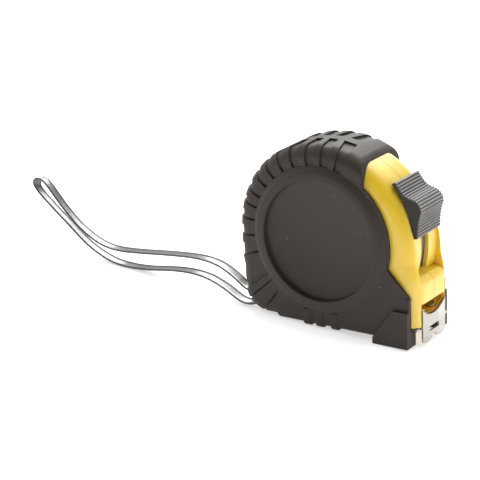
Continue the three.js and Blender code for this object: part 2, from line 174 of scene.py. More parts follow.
def smooth_route(route, steps, fine_steps=24):
    """A centripetal curve through the route's points, evenly stepped, and its length."""
    p = np.array(route, float)
    p = np.vstack([2 * p[0] - p[1], p, 2 * p[-1] - p[-2]])
    fine = []
    for i in range(1, len(p) - 2):
        knots = [0.0]
        for a, b in zip(p[i - 1 : i + 2], p[i : i + 3]):
            knots.append(knots[-1] + np.linalg.norm(b - a) ** 0.5)
        for t in np.linspace(knots[1], knots[2], fine_steps, endpoint=False):
            points = p[i - 1 : i + 3]
            for level in range(1, 4):
                points = [
                    ((knots[j + level] - t) * points[j] + (t - knots[j]) * points[j + 1])
                    / (knots[j + level] - knots[j])
                    for j in range(4 - level)
                ]
            fine.append(points[0])
    fine.append(p[-2])
    fine = np.array(fine)
    along = np.concatenate([[0], np.cumsum(np.linalg.norm(np.diff(fine, axis=0), axis=1))])
    even = np.linspace(0, along[-1], steps)
    return np.stack([np.interp(even, along, fine[:, k]) for k in range(3)], axis=1), along[-1]


strap_line, strap_length = smooth_route(strap_route, STRAP_STEPS)
strap_line = strap_line / 1000 + np.array(axle)
tangent = np.gradient(strap_line, axis=0)
tangent /= np.linalg.norm(tangent, axis=1)[:, None]
across = np.array([0, 1, 0]) - tangent * tangent[:, 1:2]
across /= np.linalg.norm(across, axis=1)[:, None]
outwards = np.cross(tangent, across)
# the ribbon rolls a little towards the far end, where nothing holds it level, and back as it turns
rolled = np.clip((ROLL_START - strap_line[:, 0]) / ROLL_LENGTH, 0, 1)
roll = np.radians(FAR_ROLL) * rolled * np.sign(-tangent[:, 0] + 1e-9)
roll *= np.clip(np.abs(tangent[:, 0]) / 0.5, 0, 1)
across, outwards = (
    across * np.cos(roll)[:, None] + outwards * np.sin(roll)[:, None],
    outwards * np.cos(roll)[:, None] - across * np.sin(roll)[:, None],
)
# a groove between two rounded edge beads, on both faces
bead = [
    (2.65, 0.0), (2.6, 0.25), (2.46, 0.41), (2.25, 0.45), (2.04, 0.4), (1.9, 0.25), (1.8, 0.2), (1.0, 0.18),
]
section = [(w, t) for w, t in bead] + [(-w, t) for w, t in bead[::-1]]
section += [(-w, -t) for w, t in bead[1:]] + [(w, -t) for w, t in bead[:0:-1]]
section = [(w / 1000, t / 1000) for w, t in section]
strap_rows = [
    [p + a * wide + o * thick for wide, thick in section] for p, a, o in zip(strap_line, across, outwards)
]
strap = loft(strap_rows, "strap")


def fed(tree, kind, values, **settings):
    """A new node with its settings, and each input fed a number, a colour or another node's output."""
    node = tree.nodes.new(kind)
    for name, setting in settings.items():
        setattr(node, name, setting)
    for key, value in values.items():
        if isinstance(value, bpy.types.NodeSocket):
            tree.links.new(value, node.inputs[key])
        else:
            node.inputs[key].default_value = value
    return node


def maths(tree, operation, *values):
    """The output of a Math node on its values."""
    return fed(tree, "ShaderNodeMath", dict(enumerate(values)), operation=operation).outputs[0]


def layered(tree, mask, under, over):
    """A colour that goes from one to another as the mask goes from 0 to 1."""
    return fed(tree, "ShaderNodeMix", {"Factor": mask, 6: under, 7: over}, data_type="RGBA").outputs[2]


def moulded_finish():
    """Colour drift, grain, scuffs and dust of a moulded surface, in Object coordinates."""
    group = bpy.data.node_groups.new("moulded_finish", "ShaderNodeTree")
    for name, kind, value in (
        ("Colour", "Color", (0.5, 0.5, 0.5, 1)), ("Drift", "Float", 0.1), ("Grain size", "Float", 0.0004),
        ("Grain depth", "Float", 0.00002), ("Roughness", "Float", 0.5), ("Roughness drift", "Float", 0.1),
        ("Edge wear", "Float", 0.1), ("Wear colour", "Color", (0.8, 0.8, 0.8, 1)), ("Dust", "Float", 0.0),
    ):
        socket = group.interface.new_socket(name, in_out="INPUT", socket_type="NodeSocket" + kind)
        socket.default_value = value
    for name, kind in (("Colour", "Color"), ("Roughness", "Float"), ("Normal", "Vector")):
        group.interface.new_socket(name, in_out="OUTPUT", socket_type="NodeSocket" + kind)
    given, out = group.nodes.new("NodeGroupInput").outputs, group.nodes.new("NodeGroupOutput")
    place = group.nodes.new("ShaderNodeTexCoord").outputs["Object"]
    broad_noise = fed(group, "ShaderNodeTexNoise", {"Vector": place, "Scale": 90, "Detail": 3})
    fine_noise = fed(group, "ShaderNodeTexNoise", {
        "Vector": place, "Scale": maths(group, "DIVIDE", 1, given["Grain size"]),
        "Detail": 4, "Roughness": 0.65,
    })
    broad, fine = broad_noise.outputs["Fac"], fine_noise.outputs["Fac"]
    # colour: a slow drift with a finer speckle on it
    mottle = fed(group, "ShaderNodeMix", {"Factor": 0.4, 2: broad, 3: fine}, data_type="FLOAT")
    drift = fed(group, "ShaderNodeMapRange", {
        "Value": mottle.outputs[0], "From Min": 0.3, "From Max": 0.7,
        "To Min": maths(group, "SUBTRACT", 1, given["Drift"]),
        "To Max": maths(group, "ADD", 1, given["Drift"]),
    })
    tint = fed(group, "ShaderNodeVectorMath", {
        0: given["Colour"], "Scale": drift.outputs["Result"],
    }, operation="SCALE")
    # a paler tone on worn edges, in patches
    shape = group.nodes.new("ShaderNodeNewGeometry")
    edge = fed(group, "ShaderNodeMapRange", {
        "Value": shape.outputs["Pointiness"], "From Min": 0.53, "From Max": 0.62,
    })
    patchy = maths(group, "MULTIPLY", edge.outputs["Result"], broad)
    wear = maths(group, "MULTIPLY", patchy, given["Edge wear"])
    worn = layered(group, wear, tint.outputs[0], given["Wear colour"])
    # dust: a small pale speck in about one cell in seven
    cells = fed(group, "ShaderNodeTexVoronoi", {"Vector": place, "Scale": 330})
    chosen = fed(group, "ShaderNodeSeparateColor", {"Color": cells.outputs["Color"]})
    speck = maths(group, "LESS_THAN", cells.outputs["Distance"], 0.048)
    rare = maths(group, "LESS_THAN", chosen.outputs["Red"], 0.15)
    dust = maths(group, "MULTIPLY", maths(group, "MULTIPLY", speck, rare), given["Dust"])
    colour = layered(group, dust, worn, (0.55, 0.52, 0.48, 1))
    # roughness: the same slow drift
    shine = maths(group, "SUBTRACT", broad, 0.5)
    roughness = maths(group, "MULTIPLY_ADD", shine, given["Roughness drift"], given["Roughness"])
    bump = fed(group, "ShaderNodeBump", {"Strength": 1, "Height": fine, "Distance": given["Grain depth"]})
    for name, value in (("Colour", colour), ("Roughness", roughness), ("Normal", bump.outputs["Normal"])):
        group.links.new(value, out.inputs[name])
    return group


finish_group = moulded_finish()


def finish(name, colour, roughness, metallic=0.0, coat=0.0, coat_roughness=0.15, specular=0.5, **values):
    """A material on the shared moulded finish, with its own values."""
    material = bpy.data.materials.new(name)
    material.use_nodes = True
    nodes, link = material.node_tree.nodes, material.node_tree.links.new
    shader = nodes["Principled BSDF"]
    shader.inputs["Metallic"].default_value = metallic
    shader.inputs["Coat Weight"].default_value = coat
    shader.inputs["Coat Roughness"].default_value = coat_roughness
    shader.inputs["Specular IOR Level"].default_value = specular
    surface = nodes.new("ShaderNodeGroup")
    surface.node_tree = finish_group
    surface.inputs["Colour"].default_value = (*colour, 1)
    surface.inputs["Roughness"].default_value = roughness
    for key, value in values.items():
        surface.inputs[key.replace("_", " ").capitalize()].default_value = value
    link(surface.outputs["Colour"], shader.inputs["Base Color"])
    link(surface.outputs["Roughness"], shader.inputs["Roughness"])
    link(surface.outputs["Normal"], shader.inputs["Normal"])
    return material


def mount(piece, body, slot, material, *stands_for):
    """Gives a piece its material and its body, and hides the parts it stands for; the slot is not used."""
    piece.data.materials.clear()
    piece.data.materials.append(material)
    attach(piece, body)
    if stands_for:
        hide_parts(*stands_for)


strap_plastic = finish(
    "strap_plastic", (0.045, 0.041, 0.038), 0.36, coat=0.35, specular=0.6, drift=0.25,
    grain_size=0.0006, grain_depth=0.000006, edge_wear=0.1, wear_colour=(0.1, 0.09, 0.08, 1),
)
mount(strap, "case", "strap_plastic", strap_plastic, "wrist_strap")
tuple(strap_line[0])
[tuple(p) for p in strap_line]


# ---------------------------------------------------------------- case halves
# Two shells of glossy yellow ABS that meet on the middle plane. They hold the spool, carry the
# track that the lock button slides on, and open in front in the mouth that the blade leaves by.
CASE_HALF, CASE_ROUNDING = 13, 7
# millimetres from the axle: the sole, the mouth's floor, the front wall and the nose past it
SOLE, MOUTH_FLOOR, FRONT_WALL, NOSE = -34.5, -30.6, 38.4, 43
TRACK_RADIUS, TRACK_HALF, TRACK_LOW = 39.05, 9.6, -11.1
INSIDE_RADIUS, INSIDE_FLOOR, MOUTH_HALF = 34.4, -32.3, 9.4
SLOT_ENDS = (-15.5, 36)
# the (x, z) of the three screw posts, and of the post that the strap is looped on
SCREWS = ((14.5, 30.5), (14, -31), (-24.5, -29))
SCREW_POST_RADIUS = 4.2
POST = (-31.4, -30.2)


def arc(x, z, radius, start, end, step=2.0):
    """Points on an arc about a centre, from one angle in degrees to another."""
    count = max(2, int(abs(end - start) / step) + 1)
    return [
        (x + radius * math.cos(math.radians(a)), z + radius * math.sin(math.radians(a)))
        for a in np.linspace(start, end, count)
    ]


def body_of(rows, name):
    """A closed body through rows of (x, y, z), in millimetres on the case."""
    return loft(rows, name, case_place)


def plate(name, outline, low, high):
    """A flat plate with an outline of (x, z), from one y to another."""
    return body_of([[(x, y, z) for x, z in outline] for y in (low, high)], name)


def round_plate(name, outline_at, half_width, rounding, steps=12):
    """A plate about the middle plane with rounded rims, from its outline at each inset."""
    rows = []
    for k in range(steps + 1):
        phi = 0.5 * math.pi * k / steps
        inset = rounding * (1 - math.sin(phi))
        y = half_width - rounding + rounding * math.cos(phi)
        rows.append([(x, y, z) for x, z in outline_at(inset)])
    return body_of([[(x, -y, z) for x, y, z in row] for row in rows] + rows[::-1], name)


def block(name, x, y, z):
    """A box between two values of x, of y and of z."""
    return plate(name, [(x[0], z[0]), (x[1], z[0]), (x[1], z[1]), (x[0], z[1])], *y)


def rod(name, x, z, radius, low, high, sides=48):
    """A round bar through (x, z), from one y to another."""
    outline = [
        (x + radius * math.cos(2 * math.pi * i / sides), z + radius * math.sin(2 * math.pi * i / sides))
        for i in range(sides)
    ]
    return plate(name, outline, low, high)


def settle(piece):
    """Makes a piece's modifiers part of its mesh."""
    graph = bpy.context.evaluated_depsgraph_get()
    graph.update()
    shaped = bpy.data.meshes.new_from_object(piece.evaluated_get(graph))
    old = piece.data
    piece.modifiers.clear()
    piece.data = shaped
    bpy.data.meshes.remove(old)


def combine(piece, tools, operation):
    """Joins the tools to the piece, or cuts them from it, and removes them."""
    for tool in tools:
        change = piece.modifiers.new("change", "BOOLEAN")
        change.object = tool
        change.operation = operation
        change.solver = "MANIFOLD"
    settle(piece)
    for tool in tools:
        bpy.data.objects.remove(tool)
    return piece


def soften_edges(piece, radius, steps=2, over=32):
    """Rounds a piece's sharp edges by a radius in metres."""
    piece.data.shade_smooth()
    rounding = piece.modifiers.new("rounding", "BEVEL")
    rounding.width = radius
    rounding.segments = steps
    rounding.limit_method = "ANGLE"
    rounding.angle_limit = math.radians(over)
    rounding.miter_outer = "MITER_ARC"
    level = piece.modifiers.new("level", "WEIGHTED_NORMAL")
    level.keep_sharp = True
    settle(piece)


def twin(piece, name):
    """A copy of a piece with a mesh of its own."""
    return placed(name, piece.data.copy())


def case_outline(inset):
    """The case from the side, drawn in by an inset: up the front, over the back, round the heel."""
    return (
        [(FRONT_WALL - inset, SOLE + inset)]
        + arc(-1, -5.3, 42.9 - inset, -7.6, 66)
        + arc(0, 0, 36.2 - inset, 70, 180)
        + arc(-27.2, -25.5, 9 - inset, 180, 270, 5)
    )


case = round_plate("case", case_outline, CASE_HALF, CASE_ROUNDING)
# the nose, square below and rounder as it rises into the case
nose_rows = []
for z, front, corner in (
    (MOUTH_FLOOR, NOSE, 6), (-13.1, NOSE, 6), (-10, 42.6, 6.2), (-6, 41.9, 6.6), (-2, 40.6, 7),
):
    near_side = [(front - corner + x, y, z) for x, y in arc(0, corner - CASE_HALF, corner, -90, 0, 6)]
    far_side = [(x, -y, z) for x, y, _ in near_side[::-1]]
    nose_rows.append([(18, -CASE_HALF, z)] + near_side + far_side + [(18, CASE_HALF, z)])
nose = body_of(nose_rows, "nose")
keel = block("keel", (-20, FRONT_WALL), (-CASE_HALF, CASE_HALF), (SOLE, -20))
combine(case, [nose, keel], "UNION")
whole_form = twin(case, "whole_form")


def plate_seat():
    """The shallow pocket under the mouth that the wear plate lies in."""
    return block("plate_seat", (36.3, 60), (-12.5, 12.5), (-32.2, MOUTH_FLOOR))


track_end = math.degrees(math.asin(TRACK_LOW / TRACK_RADIUS))
track = plate(
    "track",
    [(70, 65)] + arc(0, 0, TRACK_RADIUS, 44, track_end)
    + [(40.5, TRACK_LOW), (42.2, -12.4), (43.1, -14.4), (70, -14.4)],
    -TRACK_HALF, TRACK_HALF,
)
slot_line = arc(0, 0, TRACK_RADIUS + 2, *SLOT_ENDS) + arc(0, 0, INSIDE_RADIUS, *SLOT_ENDS[::-1])
inside_low = math.degrees(math.asin(INSIDE_FLOOR / INSIDE_RADIUS))
cuts = [
    track,
    plate("slot_cut", slot_line, -2.9, 2.9),
    plate("inside", arc(0, 0, INSIDE_RADIUS, inside_low, 180 - inside_low), -10.6, 10.6),
    plate("front_room", [(0, 0)] + arc(0, 0, 37.3, -38, 41), -MOUTH_HALF, MOUTH_HALF),
    block("mouth", (20, 50), (-MOUTH_HALF, MOUTH_HALF), (INSIDE_FLOOR, -21.2)),
    plate_seat(),
]
combine(case, cuts, "DIFFERENCE")


def strap_passage():
    """The way in for the strap at the heel, round its post and open to the back."""
    radius, sides = 4.2, (-12.2, -6.2)
    way = block("way", (-60, POST[0]), sides, (POST[1] - radius, POST[1] + radius))
    return combine(rod("strap_passage", *POST, radius, *sides), [way], "UNION")


# screw posts inside either half, and their wells on the left
screw_posts = [
    rod("post", x, z, SCREW_POST_RADIUS, *y)
    for x, z in SCREWS for y in ((-CASE_HALF, -6.5), (6.5, CASE_HALF))
]
combine(whole_form, [combine(screw_posts[0], screw_posts[1:], "UNION")], "INTERSECT")
combine(case, [whole_form], "UNION")
combine(
    case,
    [rod("head_well", x, z, 2.9, 8.7, 20) for x, z in SCREWS]
    + [rod("screw_hole", x, z, 1.7, -9.6, 20, 24) for x, z in SCREWS] + [strap_passage()],
    "DIFFERENCE",
)

yellow_plastic = finish(
    "yellow_plastic", (0.79, 0.53, 0.010), 0.42, coat=0.8, coat_roughness=0.38, drift=0.03,
    grain_size=0.0005, grain_depth=0.000006, edge_wear=0.15, wear_colour=(0.95, 0.85, 0.5, 1),
)


def lay_over(material, mask, colour):
    """Lays a colour over a material's finish where the mask is 1."""
    tree = material.node_tree
    surface = next(node for node in tree.nodes if node.type == "GROUP")
    painted = layered(tree, mask, surface.outputs["Colour"], colour)
    tree.links.new(painted, tree.nodes["Principled BSDF"].inputs["Base Color"])


# the seam between the halves is painted a deeper colour, as painted shade in the crease between them
SEAM_SHADE_HALF = 0.00024
moulding = yellow_plastic.node_tree
where = moulding.nodes.new("ShaderNodeTexCoord").outputs["Object"]
across_case = fed(moulding, "ShaderNodeSeparateXYZ", {0: where}).outputs["Y"]
on_seam = maths(moulding, "LESS_THAN", maths(moulding, "ABSOLUTE", across_case), SEAM_SHADE_HALF)
lay_over(yellow_plastic, on_seam, (0.80, 0.40, 0.0, 1))
# light soaks a little way into the plastic and comes out deeper in colour
soaking = moulding.nodes["Principled BSDF"]
soaking.inputs["Subsurface Weight"].default_value = 0.3
soaking.inputs["Subsurface Radius"].default_value = (1.0, 0.72, 0.05)
soaking.inputs["Subsurface Scale"].default_value = 0.003


def halves(piece, names, gap):
    """Cuts a piece along the middle plane into its right and left halves."""
    made = []
    for name, y in zip(names, ((-40, -gap), (gap, 40))):
        side = block("side", (-90, 90), y, (-90, 90))
        made.append(combine(twin(piece, name), [side], "INTERSECT"))
    bpy.data.objects.remove(piece)
    return made


case_halves = halves(case, ("right_case", "left_case"), 0.06)
for half, node in zip(case_halves, ("right_case_half", "left_case_half")):
    soften_edges(half, 0.00022)
    mount(half, "case", "yellow_plastic", yellow_plastic, node)


# ---------------------------------------------------------------- rubber armour
# Soft black rubber moulded over each case half: a ring round a plain disc on either side, grip
# bands over the back, and two square feet beside the mouth.

# millimetres: half the width, the rounding of the shoulders and half the width of the spine
HALF_WIDTH, SHOULDER, SPINE = 14.8, 5.2, 2.2
# how far the grip, the plain heel and the sole lie from the axle, and where the flank starts
GRIP_RADIUS, HEEL_BACK, ARMOUR_SOLE, FLANK_START = 38.9, 37.9, 36, 30.45
# angles in degrees about the axle, from the front over the top to the back
BAND_STARTS = (76.7, 88.4, 100.3, 112.5, 122.8, 133.3, 143.7, 154.5, 163.6, 174.0, 185.7, 198.6)
BAND_WIDTH, FIRST_HOLLOW = 4.9, 6.4
BAND_ENDS = (BAND_STARTS[0] - FIRST_HOLLOW,) + tuple(start + BAND_WIDTH for start in BAND_STARTS)
# (angle, degrees): how much further back a band there lies at the spine than on the flank
BAND_SLANT = ((60, 0.0), (76.7, 6.9), (88.4, 5.0), (100.3, 1.6), (112, 0.0))
GRIP_DEPTH = 0.92
HEEL_HOLLOWS = ((211.0, 216.6), (220.9, 222.0), (230.4, 231.8))
HEEL_DEPTH = 0.95


def back_radius(angle):
    """The grip's radius over the back, a little less on top."""
    return GRIP_RADIUS - 0.55 * math.exp(-(((angle - 94) / 22) ** 2))


def armour_radius(angle, inset):
    """How far the armour's outline lies from the axle, in the direction of an angle."""
    c, s = math.cos(math.radians(angle)), math.sin(math.radians(angle))
    if 20 <= angle <= 180:
        return back_radius(angle) - inset
    if angle < 20:
        # the front, which is trimmed back to the case later, and the sole
        far = (50 - inset) / c if c > 0.05 else 1e9
        if angle > 0:
            rising = GRIP_RADIUS + (20 - angle) * 0.6 - inset
            return min(far, rising if angle > 8 else 46.1 - inset)
        low = (ARMOUR_SOLE - inset) / -s if s < -0.05 else 1e9
        return min(far, low, 46.1 - inset)
    wall = (GRIP_RADIUS - inset) / -c if c < -0.05 else 1e9
    if wall * s < -12:
        # the ramp between the grip's wall and the plain heel
        x0, z0, x1, z1 = -GRIP_RADIUS + inset, -12.0, -HEEL_BACK + inset, -17.0
        dx, dz = x1 - x0, z1 - z0
        det = c * dz - s * dx
        wall = (x0 * dz - z0 * dx) / det
        if wall * s < -17:
            wall = (HEEL_BACK - inset) / -c if c < -0.05 else 1e9
    if wall * s < -25 or wall > 200:
        # the sole, and the round corner between it and the heel
        low = (ARMOUR_SOLE - inset) / -s
        cx, cz, r = -26.9, -25.0, 11 - inset
        if low * c < cx:
            half_b = c * cx + s * cz
            wall = half_b + math.sqrt(half_b * half_b - (cx * cx + cz * cz - r * r))
        else:
            wall = low
    return wall


def step(value, low, high):
    """A smooth rise from 0 to 1 between two values."""
    t = np.clip((value - low) / (high - low), 0, 1)
    return t * t * (3 - 2 * t)


def hollow_depth(angle):
    """0 on a grip band and up to 1 in the hollow before it."""
    for low, high in HEEL_HOLLOWS:
        if low < angle < high:
            return HEEL_DEPTH * min(1.0, (angle - low) / (0.6 * (high - low)))
    for end, start in zip(BAND_ENDS, BAND_STARTS):
        if end <= angle < start:
            # two thirds of the depth at once, and the rest slowly up to the next band
            past = angle - end
            return 0.66 * float(step(past, 0, 0.3)) + 0.34 * past / (start - end)
    return 0.0


def crevice(angle):
    """A narrow undercut at the foot of each band's front face."""
    return max(math.exp(-(((angle - start + 0.55) / 0.5) ** 2)) for start in BAND_STARTS)


# the angles of the grid, close together and with one on each edge of a band
ANGLE_STEP, EDGE_STEP = 0.45, 0.35
edges = sorted(BAND_STARTS + BAND_ENDS + tuple(high for _, high in HEEL_HOLLOWS))
angles = []
for start, following in zip([-90.0] + edges, edges + [270.0]):
    angles += [start, start + EDGE_STEP, following - 0.2]
    spot = start + EDGE_STEP
    while spot + ANGLE_STEP < following - EDGE_STEP:
        spot += ANGLE_STEP
        angles.append(spot)
angles = np.array(sorted(set(round(a, 3) for a in angles if a < 269.9)))
# the cross-section from the disc's middle to the spine: a turned (radius, y), how far along the
# flank from 0 to 1, the angle round the shoulder, or the y on the crown
profile = [("turned", r, y) for r, y in (
    (12.0, 14.4), (24.3, 14.4), (24.55, 14.55), (24.9, 16.45), (25.2, 16.7), (27.9, 16.7), (28.4, 16.45),
    (30.2, 14.95), (FLANK_START, HALF_WIDTH),
)]
profile += [("flank", along, 0) for along in np.linspace(0.08, 1, 8)]
profile += [("shoulder", phi, 0) for phi in np.linspace(7, 90, 13)]
profile += [("crown", y, 0) for y in (8.4, 7.2, 6.0, 4.8, 3.6, 2.7, 2.27, SPINE, 1.2, 0.0)]


def armour_grid():
    """A row of points for each place on the cross-section, with one point at each angle."""
    rows = []
    for kind, a, b in profile:
        row = []
        for angle in angles:
            nx, ny, weight = 0.0, 1.0, 0.62
            if kind == "turned":
                r, y = a, b
            elif kind == "flank":
                inner = armour_radius(angle, SHOULDER)
                r, y = FLANK_START + (inner - FLANK_START) * a, HALF_WIDTH
                weight = 0.62 if angle < 205 else 0.9
            elif kind == "shoulder":
                phi = math.radians(a)
                r = armour_radius(angle, SHOULDER * (1 - math.sin(phi)))
                y = HALF_WIDTH - SHOULDER + SHOULDER * math.cos(phi)
                nx, ny, weight = math.sin(phi), math.cos(phi), 0.62 + 0.38 * a / 90
            else:
                r, y = armour_radius(angle, 0), a
                nx, ny, weight = 1.0, 0.0, 1.0
            if kind != "turned" and y > SPINE + 0.03:
                cut = GRIP_DEPTH * hollow_depth(angle) * weight
                if kind == "flank":
                    cut += 0.6 * crevice(angle) * (1 - 0.8 * a)
                r -= nx * cut
                y -= ny * cut
            slant = 0.0
            if kind != "turned":
                slant = max(0.0, float(np.interp(angle, *zip(*BAND_SLANT)) * (1 - y / HALF_WIDTH)))
            t = math.radians(angle + slant)
            row.append((r * math.cos(t), y, r * math.sin(t)))
        rows.append(row)
    return rows


near = armour_grid()
rows = [[(x, -y, z) for x, y, z in row] for row in near[:-1]] + [near[-1]] + near[-2::-1]
armour = body_of(rows, "armour")


def mirrored(x, side):
    """A row at x from a line of (y, z) up the left side, with its mirror image before it."""
    return [(x, -y, z) for y, z in side[::-1]] + [(x, y, z) for y, z in side]


# the square bottom edge of the armour, its corners rounded
CORNER = 1.5
keel_rows = []
for x, inset in ((-22, 1.5), (-21, 0.4), (-20, 0), (50, 0)):
    w, low = HALF_WIDTH - inset, -ARMOUR_SOLE + inset
    bottom_corner = arc(w - CORNER, low + CORNER, CORNER, -81, -9, 18)
    keel_rows.append(mirrored(x, [(w - CORNER, low)] + bottom_corner + [(w, low + CORNER), (w, -18)]))
foot_outline = [(24.3, -38.25), (40, -38.25), (40, -23.3), (33.4, -23.3), (25.4, -34), (24.3, -35.5)]
additions = [body_of(keel_rows, "armour_keel")]
additions += [plate("foot", foot_outline, *y) for y in ((-16.3, -9.5), (9.5, 16.3))]


def turned_body(name, profile, sides=180):
    """A closed body turned about the case's axle, through its profile's (radius, y) points."""
    spin = [2 * math.pi * i / sides for i in range(sides)]
    return body_of([[(r * math.cos(t), y, r * math.sin(t)) for t in spin] for r, y in profile], name)


# a rib under the base that turns up both flanks, drawn about its own middle
RIB_LOW, RIB_CORNER = -36.9, 1.6
rib_rows = []
for x, inset in ((-1.9, 0.35), (-1.6, 0.08), (-1.3, 0), (1.3, 0), (1.6, 0.08), (1.9, 0.35)):
    w, low = HALF_WIDTH + 0.3 - inset, RIB_LOW + inset
    turn_up = arc(w - RIB_CORNER, low + RIB_CORNER, RIB_CORNER, -90, 0, 15)
    rib_rows.append(mirrored(x, turn_up + [(w, -29.8)]))


def repeated(name, pattern, places, turns=None):
    """Sets a copy of the pattern at each place, in a Geometry Nodes tree, and makes it one mesh."""
    tree = bpy.data.node_groups.new(name + "_rule", "GeometryNodeTree")
    for label, kind, way in (
        ("Places", "NodeSocketGeometry", "INPUT"), ("Pattern", "NodeSocketObject", "INPUT"),
        ("Material", "NodeSocketMaterial", "INPUT"), ("Pieces", "NodeSocketGeometry", "OUTPUT"),
    ):
        tree.interface.new_socket(label, in_out=way, socket_type=kind)
    n, link = tree.nodes, tree.links.new
    given, out = n.new("NodeGroupInput"), n.new("NodeGroupOutput")
    shape, turn_of = n.new("GeometryNodeObjectInfo"), n.new("GeometryNodeInputNamedAttribute")
    turn_of.data_type = "FLOAT_VECTOR"
    turn_of.inputs["Name"].default_value = "turn"
    rotation, copies = n.new("FunctionNodeEulerToRotation"), n.new("GeometryNodeInstanceOnPoints")
    real, painted = n.new("GeometryNodeRealizeInstances"), n.new("GeometryNodeSetMaterial")
    link(given.outputs["Places"], copies.inputs["Points"])
    link(given.outputs["Pattern"], shape.inputs["Object"])
    link(shape.outputs["Geometry"], copies.inputs["Instance"])
    link(turn_of.outputs["Attribute"], rotation.inputs["Euler"])
    link(rotation.outputs["Rotation"], copies.inputs["Rotation"])
    link(copies.outputs["Instances"], real.inputs["Geometry"])
    link(real.outputs["Geometry"], painted.inputs["Geometry"])
    link(given.outputs["Material"], painted.inputs["Material"])
    link(painted.outputs["Geometry"], out.inputs["Pieces"])
    mesh = bpy.data.meshes.new(name)
    mesh.from_pydata([tuple(p) for p in places], [], [])
    turned = mesh.attributes.new("turn", "FLOAT_VECTOR", "POINT")
    for i, turn in enumerate(turns or [(0, 0, 0)] * len(places)):
        turned.data[i].vector = turn
    piece = placed(name, mesh)
    rule = piece.modifiers.new("rule", "NODES")
    rule.node_group = tree
    sockets = {item.name: item.identifier for item in tree.interface.items_tree}
    rule[sockets["Pattern"]] = pattern
    rule[sockets["Material"]] = pattern.data.materials[0] if pattern.data.materials else None
    settle(piece)
    bpy.data.objects.remove(pattern)
    return piece


RIB_PLACES = (-6.5, -0.8, 6.1)
along_case = case_place.to_3x3() @ Vector((1, 0, 0))
one_rib = body_of(rib_rows, "one_rib")
additions.append(repeated("base_ribs", one_rib, [along_case * x for x in RIB_PLACES]))
combine(armour, additions, "UNION")
# the plain disc inside the ring is cleared of the keel and the ribs
disc_edge = ((24.3, 14.35), (24.5, 14.45), (24.8, 16.3), (24.8, 18))
recesses = [turned_body("recess", [(r, side * y) for r, y in disc_edge]) for side in (-1, 1)]
combine(armour, recesses, "DIFFERENCE")
front_cut = plate(
    "front_cut",
    [(60, 60), (10, 60), (12.4, 39.2), (18.8, 33.2), (19.7, 29.4)] + arc(0, 0, 31.1, 50.7, -14)
    + [(40, -17.8), (40, -60), (60, -60)],
    -20, 20,
)


def grown_case(name, grow):
    """The case's form a little larger all round, as the room that the rubber leaves for it."""
    half = CASE_HALF + grow
    outer = round_plate(name, lambda inset: case_outline(inset - grow), half, CASE_ROUNDING + grow)
    low = block(name + "_keel", (-20, FRONT_WALL + grow), (-half, half), (SOLE - grow, -20))
    front = block(name + "_nose", (18, NOSE + grow), (-half, half), (MOUTH_FLOOR - grow, -13.1))
    return combine(outer, [low, front], "UNION")


rooms = [
    front_cut, grown_case("case_room", 0.05), strap_passage(),
    block("under_mouth", (33, 60), (-9.5, 9.5), (-60, MOUTH_FLOOR)), plate_seat(),
]
rooms += [rod("well", x, z, 3.1, 8.6, 20) for x, z in SCREWS]
combine(armour, rooms, "DIFFERENCE")
dark_rubber = finish(
    "dark_rubber", (0.034, 0.026, 0.020), 0.60, specular=0.33, drift=0.08, roughness_drift=0.12,
    grain_size=0.00035, grain_depth=0.00002, edge_wear=0.0, dust=0.8,
)
rubber_halves = halves(armour, ("right_rubber", "left_rubber"), 0.03)
for half, node in zip(rubber_halves, ("right_armour", "left_armour")):
    half.data.shade_smooth()
    half.data.set_sharp_from_angle(angle=math.radians(38))
    mount(half, "case", "dark_rubber", dark_rubber, node)


# ---------------------------------------------------------------- lock button
# A moulded thumb slide that rides on the case's track, with a ridged slope and front. A neck
# through the slot joins it to the curved band under the track, which brakes the blade.
def bend(start, through, end, steps=12):
    """Points along a curve from start to end, pulled towards a third point."""
    return [
        tuple((1 - t) ** 2 * a + 2 * t * (1 - t) * m + t * t * b for a, m, b in zip(start, through, end))
        for t in np.linspace(0, 1, steps)
    ]


BUTTON_HALF = 9.2
RIDGE_PITCH, RIDGE_HEIGHT, RIDGE_HALF, RIDGE_ROOT = 1.25, 0.42, 9.28, 0.3
# along the ridges' feet, from the back of the button down its slope and front
ridge_line = (
    [(31.2, 26.9)] + bend((34.2, 23.0), (35.9, 21.4), (38.1, 21.1))
    + bend((38.1, 21.1), (42.6, 20.2), (42.6, 16))[1:] + bend((42.6, 16), (41, 12), (41, 5.3))[1:]
)
ridge_path = np.array(ridge_line)
path_way = np.gradient(ridge_path, axis=0)
path_way /= np.linalg.norm(path_way, axis=1)[:, None]
outward_way = np.stack([-path_way[:, 1], path_way[:, 0]], axis=1)
sunk = ridge_path - outward_way * RIDGE_ROOT
button_outline = [tuple(p) for p in sunk] + arc(0, 0, 39.35, 7.2, 41.0, 1.5)
button = plate("button", button_outline, -BUTTON_HALF, BUTTON_HALF)
neck = plate("neck", arc(0, 0, 39.85, 16, 28) + arc(0, 0, 37.15, 28, 16), -2.5, 2.5)
combine(button, [neck], "UNION")
soften_edges(button, 0.00015)
black_plastic = finish(
    "black_plastic", (0.020, 0.016, 0.013), 0.5, specular=0.3, drift=0.1,
    grain_size=0.0003, grain_depth=0.00001, edge_wear=0.25, wear_colour=(0.12, 0.11, 0.10, 1),
)
mount(button, "lock", "black_plastic", black_plastic, "lock_button")

